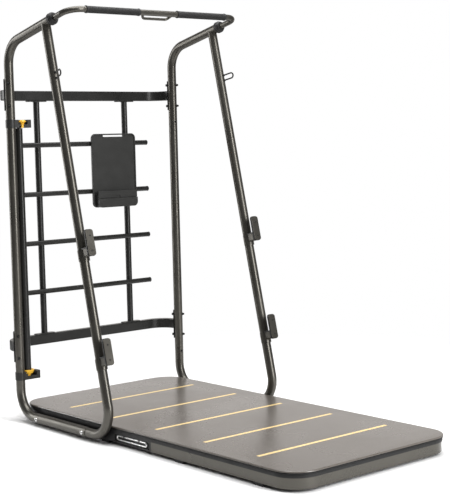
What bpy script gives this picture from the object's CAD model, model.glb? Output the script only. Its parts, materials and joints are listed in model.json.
"""Looks for the functional-training station: finer pieces, materials, floor, lights and camera."""

import json
import math

import bpy
from mathutils import Matrix, Vector

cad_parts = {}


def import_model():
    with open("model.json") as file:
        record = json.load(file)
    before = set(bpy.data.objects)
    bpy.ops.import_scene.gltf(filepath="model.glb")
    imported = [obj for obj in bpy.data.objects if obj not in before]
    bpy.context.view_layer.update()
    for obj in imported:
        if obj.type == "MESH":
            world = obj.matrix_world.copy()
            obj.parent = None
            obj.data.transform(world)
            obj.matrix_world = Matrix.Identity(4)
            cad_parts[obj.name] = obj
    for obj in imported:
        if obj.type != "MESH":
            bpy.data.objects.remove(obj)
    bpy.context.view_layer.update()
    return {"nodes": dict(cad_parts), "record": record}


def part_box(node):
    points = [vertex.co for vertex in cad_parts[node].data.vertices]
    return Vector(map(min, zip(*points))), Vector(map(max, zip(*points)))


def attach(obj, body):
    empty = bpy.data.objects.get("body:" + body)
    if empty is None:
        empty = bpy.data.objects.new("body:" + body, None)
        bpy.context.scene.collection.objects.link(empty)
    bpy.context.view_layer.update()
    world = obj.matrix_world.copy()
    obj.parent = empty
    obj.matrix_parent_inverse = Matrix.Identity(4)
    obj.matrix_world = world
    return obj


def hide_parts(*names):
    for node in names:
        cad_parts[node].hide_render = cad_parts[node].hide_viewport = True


MM = 0.001
STATION = "station"
SHARP_FROM = math.radians(35)
RING_POINTS = 36

# ---- what the finer pieces share with the CAD: metres and radians ----

LEAN = math.radians(13)
MAT_CORNER_R = 130 * MM
MAT_EDGE_R = 6 * MM
MAT_COVER_H = 7 * MM
HOOK_PLATE_HALF = 64 * MM
HOOK_SCREW_STEP = (-40 * MM, 34 * MM)
RUNG_COUNT = 4
SIDES = ("left", "right")

# ---- the stage: metres, radians, and a lens in millimetres ----

WARM_WHITE = (1.0, 0.955, 0.92)
FLOOR_R = 3.2
FLOOR_FADE_FROM = 0.47 * FLOOR_R
FAR_FLOOR_R = 40.0
FLOOR_SIDES = 96
CAMERA_PLACE = (-3.9916, -4.7856, 1.4690)
CAMERA_YAW = 0.7065
CAMERA_PITCH = 0.0883
CAMERA_ROLL = -0.0237
CAMERA_LENS = 90.92


# ---- node trees ----


def new_material(name, base, rough, metallic=0.0, specular=0.5):
    """A material with one Principled shader; returns it with its tree and shader."""
    material = bpy.data.materials.new(name)
    material.use_nodes = True
    tree = material.node_tree
    shader = tree.nodes["Principled BSDF"]
    shader.inputs["Base Color"].default_value = (*base, 1)
    shader.inputs["Roughness"].default_value = rough
    shader.inputs["Metallic"].default_value = metallic
    shader.inputs["Specular IOR Level"].default_value = specular
    return material, tree, shader


def add_node(tree, kind, settings=None, **inputs):
    """Adds a node; settings are its attributes, and inputs are socket values or links."""
    node = tree.nodes.new(kind)
    for key, value in (settings or {}).items():
        setattr(node, key, value)
    for key, value in inputs.items():
        socket = node.inputs[key.replace("_", " ")]
        if isinstance(value, bpy.types.NodeSocket):
            tree.links.new(value, socket)
        else:
            socket.default_value = value
    return node


def object_coords(tree, stretch=(1, 1, 1)):
    """Object coordinates in metres, stretched along each axis."""
    coords = add_node(tree, "ShaderNodeTexCoord")
    mapping = add_node(tree, "ShaderNodeMapping", Vector=coords.outputs["Object"])
    mapping.inputs["Scale"].default_value = stretch
    return mapping.outputs["Vector"]


def noise(tree, vector, scale, detail, roughness=0.5):
    """A noise value from 0 to 1."""
    node = add_node(
        tree,
        "ShaderNodeTexNoise",
        Vector=vector,
        Scale=scale,
        Detail=detail,
        Roughness=roughness,
    )
    return node.outputs["Fac"]


def cells(tree, vector, scale, feature="F1"):
    """The distance to the nearest cell centre or cell edge."""
    node = add_node(
        tree,
        "ShaderNodeTexVoronoi",
        {"feature": feature},
        Vector=vector,
        Scale=scale,
    )
    return node.outputs["Distance"]


def ramp(tree, value, low, high, start=0.0, end=1.0):
    """Maps value from the span low to high onto the span start to end, clamped."""
    node = add_node(tree, "ShaderNodeMapRange", Value=value)
    node.inputs["From Min"].default_value = low
    node.inputs["From Max"].default_value = high
    node.inputs["To Min"].default_value = start
    node.inputs["To Max"].default_value = end
    return node.outputs["Result"]


def weakened(tree, value, top):
    """A value from 0 to 1 brought down to the span 0 to top."""
    return ramp(tree, value, 0, 1, 0, top)


def mix_colors(tree, fac, first, second):
    """A colour between first and second."""
    node = add_node(tree, "ShaderNodeMix", {"data_type": "RGBA"})
    tree.links.new(fac, node.inputs["Factor"])
    for socket, colour in ((node.inputs["A"], first), (node.inputs["B"], second)):
        if isinstance(colour, bpy.types.NodeSocket):
            tree.links.new(colour, socket)
        else:
            socket.default_value = (*colour, 1)
    return node.outputs["Result"]


def soft_edge(tree, radius):
    """A normal that rounds off sharp edges to a radius in metres."""
    node = add_node(tree, "ShaderNodeBevel", {"samples": 4}, Radius=radius)
    return node.outputs["Normal"]


def bump(tree, height, distance, strength, below=None):
    """A bumped normal; distance is the real height of the bumps in metres."""
    node = add_node(
        tree, "ShaderNodeBump", Height=height, Distance=distance, Strength=strength
    )
    if below is not None:
        tree.links.new(below, node.inputs["Normal"])
    return node.outputs["Normal"]


def shade(colour, factor):
    """A colour made lighter or darker."""
    return tuple(c * factor for c in colour)


# ---- materials ----


def powder_coat(name, base, rough, metallic, fleck):
    """Satin powder coat: orange peel, metallic flecks, uneven gloss and faint rubbing."""
    material, tree, shader = new_material(name, base, rough, metallic, specular=0.35)
    place = object_coords(tree)
    peel = noise(tree, place, 520, 2)
    flecks = ramp(tree, cells(tree, place, 2600), 0.0, 0.35, 1.0, 0.0)
    patches = noise(tree, place, 7, 4)
    rubbed = ramp(tree, noise(tree, place, 38, 6, 0.7), 0.60, 0.78)
    body = mix_colors(tree, patches, shade(base, 0.86), shade(base, 1.14))
    flecked = mix_colors(tree, weakened(tree, flecks, 0.5), body, shade(base, fleck))
    worn = mix_colors(tree, weakened(tree, rubbed, 0.22), flecked, shade(base, 1.7))
    tree.links.new(worn, shader.inputs["Base Color"])
    gloss = ramp(tree, patches, 0.3, 0.7, rough - 0.05, rough + 0.07)
    tree.links.new(gloss, shader.inputs["Roughness"])
    edges = soft_edge(tree, 1.2 * MM)
    tree.links.new(bump(tree, peel, 0.1 * MM, 0.22, edges), shader.inputs["Normal"])
    return material


def moulded_plastic(name, base, rough, grain_scale=1500):
    """Moulded plastic with a spark-eroded grain and slight scuffs."""
    material, tree, shader = new_material(name, base, rough, specular=0.3)
    place = object_coords(tree)
    grain = cells(tree, place, grain_scale)
    scuffs = ramp(tree, noise(tree, object_coords(tree, (1, 1, 6)), 42, 7, 0.75), 0.6, 0.8)
    colour = mix_colors(tree, weakened(tree, scuffs, 0.35), base, shade(base, 2.2))
    tree.links.new(colour, shader.inputs["Base Color"])
    gloss = ramp(tree, noise(tree, place, 16, 4), 0.3, 0.7, rough - 0.06, rough + 0.06)
    tree.links.new(gloss, shader.inputs["Roughness"])
    edges = soft_edge(tree, 1.5 * MM)
    tree.links.new(bump(tree, grain, 0.1 * MM, 0.5, edges), shader.inputs["Normal"])
    return material


def soft_rubber(name, base, rough):
    """Matt rubber with a bloom of dust."""
    material, tree, shader = new_material(name, base, rough, specular=0.4)
    place = object_coords(tree)
    bloom = ramp(tree, noise(tree, place, 24, 5, 0.6), 0.45, 0.8)
    colour = mix_colors(tree, weakened(tree, bloom, 0.4), base, shade(base, 1.9))
    tree.links.new(colour, shader.inputs["Base Color"])
    tree.links.new(
        ramp(tree, bloom, 0, 1, rough, min(1.0, rough + 0.15)), shader.inputs["Roughness"]
    )
    edges = soft_edge(tree, 1.0 * MM)
    grain = bump(tree, noise(tree, place, 1400, 2), 0.12 * MM, 0.6, edges)
    tree.links.new(grain, shader.inputs["Normal"])
    return material


def deck_cover(name, base, rough):
    """The deck's smooth cover: fine grain, shallow waves, scuffs and a soft sheen."""
    material, tree, shader = new_material(name, base, rough)
    shader.inputs["Coat Weight"].default_value = 0.3
    shader.inputs["Coat Roughness"].default_value = 0.22
    place = object_coords(tree)
    tone = noise(tree, place, 2.2, 5, 0.55)
    marks = ramp(tree, noise(tree, object_coords(tree, (5, 0.8, 1)), 9, 8, 0.78), 0.58, 0.8)
    body = mix_colors(tree, tone, shade(base, 0.90), shade(base, 1.10))
    speck = ramp(tree, cells(tree, place, 900), 0.1, 0.5, 0.0, 0.35)
    grainy = mix_colors(tree, speck, body, shade(base, 0.82))
    scuffed = mix_colors(tree, weakened(tree, marks, 0.10), grainy, shade(base, 1.45))
    tree.links.new(scuffed, shader.inputs["Base Color"])
    gloss = ramp(tree, tone, 0.3, 0.7, rough - 0.05, rough + 0.08)
    tree.links.new(gloss, shader.inputs["Roughness"])
    waves = bump(tree, noise(tree, place, 5, 2), 0.6 * MM, 0.25)
    creases = cells(tree, place, 850, "DISTANCE_TO_EDGE")
    grain = bump(tree, ramp(tree, creases, 0.0, 0.12), 0.07 * MM, 0.5, waves)
    tree.links.new(grain, shader.inputs["Normal"])
    return material


def gold_line(name, base, rough):
    """A satin gold line, brushed along its length and rubbed thin in places."""
    material, tree, shader = new_material(name, base, rough, 0.3)
    brushed = noise(tree, object_coords(tree, (0.02, 1, 1)), 900, 3)
    worn = ramp(tree, noise(tree, object_coords(tree), 14, 6, 0.7), 0.58, 0.75)
    body = mix_colors(tree, brushed, shade(base, 0.85), shade(base, 1.12))
    colour = mix_colors(tree, weakened(tree, worn, 0.5), body, shade(base, 0.55))
    tree.links.new(colour, shader.inputs["Base Color"])
    tree.links.new(ramp(tree, brushed, 0.3, 0.7, rough, rough + 0.12), shader.inputs["Roughness"])
    tree.links.new(bump(tree, brushed, 0.04 * MM, 0.5), shader.inputs["Normal"])
    return material


def bare_metal(name, base, rough, stretch=(1, 1, 1)):
    """Plated or brushed metal: fine scratches and uneven gloss."""
    material, tree, shader = new_material(name, base, rough, 1.0)
    scratches = noise(tree, object_coords(tree, stretch), 1300, 4, 0.65)
    stain = noise(tree, object_coords(tree), 60, 5, 0.6)
    colour = mix_colors(tree, ramp(tree, stain, 0.4, 0.8), base, shade(base, 0.72))
    tree.links.new(colour, shader.inputs["Base Color"])
    gloss = ramp(tree, scratches, 0.3, 0.7, rough - 0.06, rough + 0.12)
    tree.links.new(gloss, shader.inputs["Roughness"])
    tree.links.new(bump(tree, scratches, 0.03 * MM, 0.5), shader.inputs["Normal"])
    return material


def make_materials():
    """Every finish, by the record's material slot."""
    return {
        "mat": deck_cover("deck_cover", (0.112, 0.099, 0.087), 0.27),
        "board": moulded_plastic("board_edge", (0.010, 0.010, 0.010), 0.5, 700),
        "line_yellow": gold_line("gold_line", (0.97, 0.72, 0.32), 0.26),
        "frame_olive": powder_coat("olive_coat", (0.092, 0.087, 0.076), 0.30, 0.75, 1.4),
        "base_black": powder_coat("base_coat", (0.010, 0.010, 0.010), 0.40, 0.1, 1.6),
        "rack_black": powder_coat("rack_coat", (0.016, 0.016, 0.015), 0.30, 0.2, 1.9),
        "moulded_black": moulded_plastic("moulded_black", (0.021, 0.021, 0.020), 0.40),
        "cap_rubber": soft_rubber("cap_rubber", (0.009, 0.009, 0.009), 0.5),
        "foot_rubber": soft_rubber("foot_rubber", (0.012, 0.012, 0.012), 0.75),
        "grip_rubber": soft_rubber("grip_rubber", (0.010, 0.010, 0.010), 0.55),
        "liner_rubber": soft_rubber("liner_rubber", (0.010, 0.010, 0.010), 0.42),
        "bolt_steel": bare_metal("bolt_steel", (0.72, 0.72, 0.71), 0.2),
        "bolt_black": bare_metal("bolt_black", (0.035, 0.035, 0.035), 0.38),
        "ring_steel": bare_metal("ring_steel", (0.95, 0.95, 0.94), 0.24, (1, 0.1, 1)),
        "latch_yellow": moulded_plastic("latch_yellow", (0.80, 0.46, 0.04), 0.30, 2200),
    }


# ---- meshes ----


def circle(radius, height, count=RING_POINTS):
    """A ring of points round Z."""
    turns = (2 * math.pi * i / count for i in range(count))
    return [(radius * math.cos(a), radius * math.sin(a), height) for a in turns]


def hexagon(across_flats, height):
    """A ring of points on a hexagon round Z, so RING_POINTS is a multiple of six."""
    ring = []
    for i in range(RING_POINTS):
        turn = 2 * math.pi * i / RING_POINTS
        off_flat = (turn % (math.pi / 3)) - math.pi / 6
        radius = across_flats / 2 / math.cos(off_flat)
        ring.append((radius * math.cos(turn), radius * math.sin(turn), height))
    return ring


def rounded_outline(width, length, corner, inset, height):
    """A ring of points on a rectangle with round corners, moved inwards by inset."""
    steps = 14
    ring = []
    corners = ((1, 1), (-1, 1), (-1, -1), (1, -1))
    for quarter, (along_x, along_y) in enumerate(corners):
        for i in range(steps + 1):
            turn = math.pi / 2 * (quarter + i / steps)
            x = along_x * (width / 2 - corner) + (corner - inset) * math.cos(turn)
            y = along_y * (length / 2 - corner) + (corner - inset) * math.sin(turn)
            ring.append((x, y, height))
    return ring


def turned(profile, count=RING_POINTS):
    """Rings for a solid of revolution from (radius, height) pairs."""
    return [circle(radius, height, count) for radius, height in profile]


def placed(place, axis=(0, 0, 1)):
    """The matrix that puts a piece at a place, with its Z along an axis."""
    turn = Vector((0, 0, 1)).rotation_difference(Vector(axis))
    return Matrix.Translation(place) @ turn.to_matrix().to_4x4()


def skin(points, faces, rings, matrix):
    """Adds a closed skin through rings of equal length to points and faces."""
    first = len(points)
    count = len(rings[0])
    for ring in rings:
        points.extend(matrix @ Vector(point) for point in ring)
    for level in range(len(rings) - 1):
        low = first + level * count
        for i in range(count):
            after = (i + 1) % count
            faces.append((low + i, low + after, low + count + after, low + count + i))
    last = first + (len(rings) - 1) * count
    faces.append(tuple(first + i for i in reversed(range(count))))
    faces.append(tuple(last + i for i in range(count)))


def make_piece(name, parts, material):
    """One object from (rings, matrix) parts; it rides on the station and has a material slot."""
    points, faces = [], []
    for rings, matrix in parts:
        skin(points, faces, rings, matrix)
    data = bpy.data.meshes.new(name)
    data.from_pydata(points, [], faces)
    data.materials.append(material)
    data.shade_smooth()
    data.set_sharp_from_angle(angle=SHARP_FROM)
    piece = bpy.data.objects.new(name, data)
    bpy.context.collection.objects.link(piece)
    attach(piece, STATION)
    return piece


# ---- finer pieces ----


def middle(node):
    """The middle of a CAD node's box."""
    low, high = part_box(node)
    return (low + high) / 2


def add_mat(materials):
    """The mat: a grained cover with a rounded edge over a black foam side with two grooves."""
    low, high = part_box("deck_mat")
    width, length, _ = high - low
    centre = placed((low.x + width / 2, low.y + length / 2, 0))
    seam = high.z - MAT_COVER_H
    cover_lip = 4 * MM
    groove_in = 5 * MM
    groove_h = 3 * MM
    foam_in = 0.8 * MM
    chamfer = 1 * MM
    edge_steps = 6

    def outline(height, inset):
        return rounded_outline(width, length, MAT_CORNER_R, inset, height)

    cover = [outline(seam, cover_lip), outline(seam, 0), outline(high.z - MAT_EDGE_R, 0)]
    for i in range(1, edge_steps + 1):
        turn = math.pi / 2 * i / edge_steps
        inset = MAT_EDGE_R * (1 - math.cos(turn))
        cover.append(outline(high.z - MAT_EDGE_R * (1 - math.sin(turn)), inset))
    top = make_piece("mat_cover", [(cover, centre)], materials["mat"])
    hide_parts("deck_mat")
    side = [
        outline(low.z, groove_in),
        outline(low.z + groove_h, groove_in),
        outline(low.z + groove_h + chamfer, foam_in),
        outline(seam - groove_h - chamfer, foam_in),
        outline(seam - groove_h, groove_in),
        outline(seam, groove_in),
    ]
    foam = make_piece("mat_side", [(side, centre)], materials["board"])
    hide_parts("deck_mat")


def add_grips(materials):
    """Ribbed rubber grips with a plain collar at each end."""
    rib_pitch = 5.2 * MM
    rib_depth = 0.9 * MM
    collar = 9 * MM
    collar_proud = 1.5 * MM
    rim = 1 * MM
    slope = 2 * MM
    for side in SIDES:
        node = "grip_" + side
        low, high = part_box(node)
        length = high.x - low.x
        collar_r = (high.y - low.y) / 2
        grip_r = collar_r - collar_proud
        inner_r = grip_r - rib_depth
        profile = [(inner_r - rim, 0), (collar_r - rim, 0), (collar_r, rim)]
        profile += [(collar_r, collar - slope), (grip_r, collar)]
        ribs = int((length - 2 * collar) / rib_pitch)
        step = (length - 2 * collar) / ribs
        for i in range(ribs):
            at = collar + i * step
            profile += [(inner_r, at + 0.22 * step), (inner_r, at + 0.42 * step)]
            profile += [(grip_r, at + 0.62 * step), (grip_r, at + step)]
        end = length - collar
        profile += [(collar_r, end + slope), (collar_r, length - rim)]
        profile += [(collar_r - rim, length), (inner_r - rim, length)]
        centre = middle(node)
        at = placed((low.x, centre.y, centre.z), (1, 0, 0))
        grip = make_piece(
            "ribbed_" + node, [(turned(profile, 48), at)], materials["grip_rubber"]
        )
        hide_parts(node)


def socket_head(radius, height, socket):
    """Rings for a domed screw head on Z = 0 with a hexagon socket."""
    sunk = 0.5 * MM
    chamfer = 0.4 * MM
    dome_steps = 6
    dome_fullness = 0.7
    mouth = 1.12 * socket
    floor = 0.35 * height
    rings = [circle(radius * 0.9, -sunk), circle(radius, 0)]
    for i in range(1, dome_steps):
        turn = math.pi / 2 * i / dome_steps
        rings.append(circle(radius * math.cos(turn) ** dome_fullness, height * math.sin(turn)))
    rings.append(hexagon(mouth, height))
    rings.append(hexagon(socket, height - chamfer))
    rings.append(hexagon(socket, floor))
    return rings


def add_rail_bolts(materials):
    """Domed bolt heads in the lower rails."""
    low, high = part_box("rail_bolts")
    head_r = 10 * MM
    head_t = 6 * MM
    socket = 6 * MM
    parts = []
    for side, face in ((-1, low.x + head_t), (1, high.x - head_t)):
        for y in (low.y + head_r, high.y - head_r):
            at = placed((face, y, (low.z + high.z) / 2), (side, 0, 0))
            parts.append((socket_head(head_r, head_t, socket), at))
    heads = make_piece("rail_bolt_heads", parts, materials["bolt_steel"])
    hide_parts("rail_bolts")


def add_hook_screws(materials):
    """Button-headed screws in the hook plates."""
    head_r = 4.5 * MM
    head_t = 2 * MM
    socket = 2.6 * MM
    out = Vector((0, -math.cos(LEAN), math.sin(LEAN)))
    up = Vector((0, math.sin(LEAN), math.cos(LEAN)))
    parts = []
    for level in ("upper", "lower"):
        for side in SIDES:
            plate = hook_plate_middle(level, side)
            for step in HOOK_SCREW_STEP:
                at = placed(plate + up * step, out)
                parts.append((socket_head(head_r, head_t, socket), at))
    heads = make_piece("hook_screw_heads", parts, materials["bolt_black"])
    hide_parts("hook_screws")


def hook_plate_middle(level, side):
    """The middle of a hook plate's front face, which leans back over the whole plate."""
    low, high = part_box(f"hook_{level}_{side}")
    x = (low.x + high.x) / 2
    front_low = low.y + HOOK_PLATE_HALF * math.sin(LEAN)
    return Vector((x, front_low, high.z - HOOK_PLATE_HALF * math.cos(LEAN)))


def add_rung_caps(materials):
    """Caps with a rounded rim in the ends of the rungs."""
    low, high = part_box("rung_caps")
    cap_t = 5 * MM
    cap_r = (high.y - low.y) / 2
    step = (high.z - low.z - 2 * cap_r) / (RUNG_COUNT - 1)
    rim = 0.6 * MM
    rounding = 2 * MM
    shoulder = 0.7 * MM
    dish_from = 7 * MM
    dish_to = 8 * MM
    dish_depth = 0.5 * MM
    profile = [(cap_r - rim, 0), (cap_r, rim), (cap_r, cap_t - rounding)]
    profile += [(cap_r - rim, cap_t - shoulder), (cap_r - rounding, cap_t)]
    profile += [(cap_r - dish_from, cap_t), (cap_r - dish_to, cap_t - dish_depth)]
    parts = []
    for side, x in ((-1, low.x + cap_t), (1, high.x - cap_t)):
        for i in range(RUNG_COUNT):
            z = low.z + cap_r + i * step
            at = placed((x, (low.y + high.y) / 2, z), (side, 0, 0))
            parts.append((turned(profile), at))
    caps = make_piece("rung_end_caps", parts, materials["cap_rubber"])
    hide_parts("rung_caps")


def bead(radius, fat, waves):
    """Rings for a weld bead round Z, slightly uneven."""
    count = 72
    steps = 8
    unevenness = 0.16
    rings = []
    for i in range(steps + 1):
        turn = 2 * math.pi * i / steps
        ring = []
        for j in range(count):
            around = 2 * math.pi * j / count
            size = fat * (1 + unevenness * math.sin(waves * around))
            r = radius + size * math.cos(turn)
            ring.append((r * math.cos(around), r * math.sin(around), size * math.sin(turn)))
        rings.append(ring)
    return rings


def add_weld_beads(materials):
    """Weld beads where the ladder tubes meet their flanges."""
    bead_r = 16.8 * MM
    bead_fat = 2.2 * MM
    bead_waves = 23
    flange_t = 5 * MM
    parts = []
    for side in SIDES:
        low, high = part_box("ladder_" + side)
        x = (low.x + high.x) / 2
        y = (low.y + high.y) / 2
        for z in (low.z + flange_t, high.z - flange_t):
            parts.append((bead(bead_r, bead_fat, bead_waves), placed((x, y, z))))
    make_piece("ladder_welds", parts, materials["rack_black"])


def add_rivet_nuts(materials):
    """Flanges of the rivet nuts in the two spare holes of the right upright."""
    bore_r = 4.3 * MM
    flange_r = 7 * MM
    below = 0.4 * MM
    depth = 1.4 * MM
    proud = 0.15 * MM
    profile = [(bore_r, depth), (bore_r, -below), (flange_r - below, -below)]
    profile += [(flange_r, 0), (flange_r, depth), (bore_r, depth)]
    low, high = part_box("rear_tube_right")
    front = middle("cross_bar").y - (high.x - low.x) / 2 - proud
    parts = []
    for node in ("holder_upper", "holder_lower"):
        place = ((low.x + high.x) / 2, front, middle(node).z)
        parts.append((turned(profile), placed(place, (0, 1, 0))))
    make_piece("rivet_nuts", parts, materials["bolt_black"])


# ---- stage ----


def aim(obj, place, target):
    """Puts an object at a place and turns its -Z towards a target."""
    obj.location = place
    obj.rotation_mode = "QUATERNION"
    obj.rotation_quaternion = (Vector(target) - Vector(place)).to_track_quat("-Z", "Y")


def add_softbox(name, place, target, size, power, tint=(1, 1, 1)):
    """A rectangular area light that the camera doesn't see."""
    data = bpy.data.lights.new(name, "AREA")
    data.shape = "RECTANGLE"
    data.size, data.size_y = size
    data.energy = power
    data.color = tint
    light = bpy.data.objects.new(name, data)
    light.visible_camera = False
    bpy.context.collection.objects.link(light)
    aim(light, place, target)


def add_world():
    """White where the camera looks past the object, and a dim grey fill for everything else."""
    world = bpy.data.worlds.new("studio")
    bpy.context.scene.world = world
    world.use_nodes = True
    tree = world.node_tree
    tree.nodes.clear()
    path = add_node(tree, "ShaderNodeLightPath")
    fill = add_node(tree, "ShaderNodeBackground", Color=(1, 1, 1, 1), Strength=0.09)
    backdrop = add_node(tree, "ShaderNodeBackground", Color=(1, 1, 1, 1), Strength=1.0)
    mix = add_node(tree, "ShaderNodeMixShader", Fac=path.outputs["Is Camera Ray"])
    tree.links.new(fill.outputs[0], mix.inputs[1])
    tree.links.new(backdrop.outputs[0], mix.inputs[2])
    output = add_node(tree, "ShaderNodeOutputWorld")
    tree.links.new(mix.outputs[0], output.inputs["Surface"])


def floor_mesh(name, inner, outer):
    """A flat ring of floor, or a whole disc when the inner radius is None."""
    data = bpy.data.meshes.new(name)
    points = circle(outer, 0, FLOOR_SIDES)
    faces = [tuple(range(FLOOR_SIDES))]
    if inner is not None:
        points += circle(inner, 0, FLOOR_SIDES)
        faces = []
        for i in range(FLOOR_SIDES):
            after = (i + 1) % FLOOR_SIDES
            faces.append((i, after, FLOOR_SIDES + after, FLOOR_SIDES + i))
    data.from_pydata(points, [], faces)
    piece = bpy.data.objects.new(name, data)
    bpy.context.collection.objects.link(piece)
    return piece


def white_glow(tree):
    """A shader that shows plain white in any light."""
    glow = add_node(tree, "ShaderNodeEmission", Color=(1, 1, 1, 1), Strength=1.0)
    return glow.outputs["Emission"]


def add_floor():
    """A pale floor that fades to white, and a white far floor that the object doesn't reflect."""
    near = floor_mesh("floor", None, FLOOR_R)
    material, tree, shader = new_material("floor_paint", (0.95, 0.95, 0.95), 0.9, specular=0.1)
    coords = add_node(tree, "ShaderNodeTexCoord")
    reach = add_node(tree, "ShaderNodeVectorMath", {"operation": "LENGTH"})
    tree.links.new(coords.outputs["Object"], reach.inputs[0])
    fade = ramp(tree, reach.outputs["Value"], FLOOR_FADE_FROM, FLOOR_R)
    mix = add_node(tree, "ShaderNodeMixShader", Fac=fade)
    tree.links.new(shader.outputs["BSDF"], mix.inputs[1])
    tree.links.new(white_glow(tree), mix.inputs[2])
    tree.links.new(mix.outputs["Shader"], tree.nodes["Material Output"].inputs["Surface"])
    near.data.materials.append(material)
    far = floor_mesh("far_floor", FLOOR_R, FAR_FLOOR_R)
    far.visible_glossy = False
    material, tree, _ = new_material("far_floor_paint", (1, 1, 1), 1.0)
    tree.links.new(white_glow(tree), tree.nodes["Material Output"].inputs["Surface"])
    far.data.materials.append(material)


def add_lights():
    """Soft studio light: overhead, bands behind and ahead, and a wide dim panel behind."""
    add_softbox("overhead", (0, 0.2, 5.2), (0, 0, 0), (4.5, 4.5), 350)
    add_softbox("left_behind", (-2.4, 4.4, 1.7), (0, 0, 1.0), (1.3, 3.4), 80)
    add_softbox("ahead", (0.9, -4.8, 2.7), (0, 0, 1.3), (1.7, 5.6), 330)
    add_softbox("backdrop", (4.6, 5.4, 2.7), (0, 0, 1.2), (10, 5.4), 128, WARM_WHITE)


def add_camera():
    """A camera at the view the object is judged from: ahead, to the left and a little above."""
    yaw, pitch, roll = CAMERA_YAW, CAMERA_PITCH, CAMERA_ROLL
    ahead = Vector(
        (
            math.sin(yaw) * math.cos(pitch),
            math.cos(yaw) * math.cos(pitch),
            -math.sin(pitch),
        )
    )
    level = Vector((math.cos(yaw), -math.sin(yaw), 0))
    upright = level.cross(ahead)
    right = math.cos(roll) * level + math.sin(roll) * upright
    up = math.cos(roll) * upright - math.sin(roll) * level
    data = bpy.data.cameras.new("camera")
    data.sensor_width = 36
    data.lens = CAMERA_LENS
    data.clip_start, data.clip_end = 0.1, 100
    camera = bpy.data.objects.new("camera", data)
    bpy.context.collection.objects.link(camera)
    camera.matrix_world = Matrix.Translation(CAMERA_PLACE) @ Matrix(
        (right, up, -ahead)
    ).transposed().to_4x4()
    bpy.context.scene.camera = camera


def dress_nodes(frame, materials):
    """Gives every CAD node the finish of its slot in the record."""
    slots = {part["node"]: part["material_slot"] for part in frame["record"]["subparts"]}
    for name, obj in frame["nodes"].items():
        obj.data.materials.clear()
        obj.data.materials.append(materials[slots[name]])


FINER_PIECES = (
    add_mat,
    add_grips,
    add_rail_bolts,
    add_hook_screws,
    add_rung_caps,
    add_weld_beads,
    add_rivet_nuts,
)


def main():
    """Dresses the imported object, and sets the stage."""
    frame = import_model()
    bpy.context.scene.view_settings.view_transform = "Standard"
    materials = make_materials()
    dress_nodes(frame, materials)
    for add_piece in FINER_PIECES:
        add_piece(materials)
    add_world()
    add_floor()
    add_lights()
    add_camera()


main()
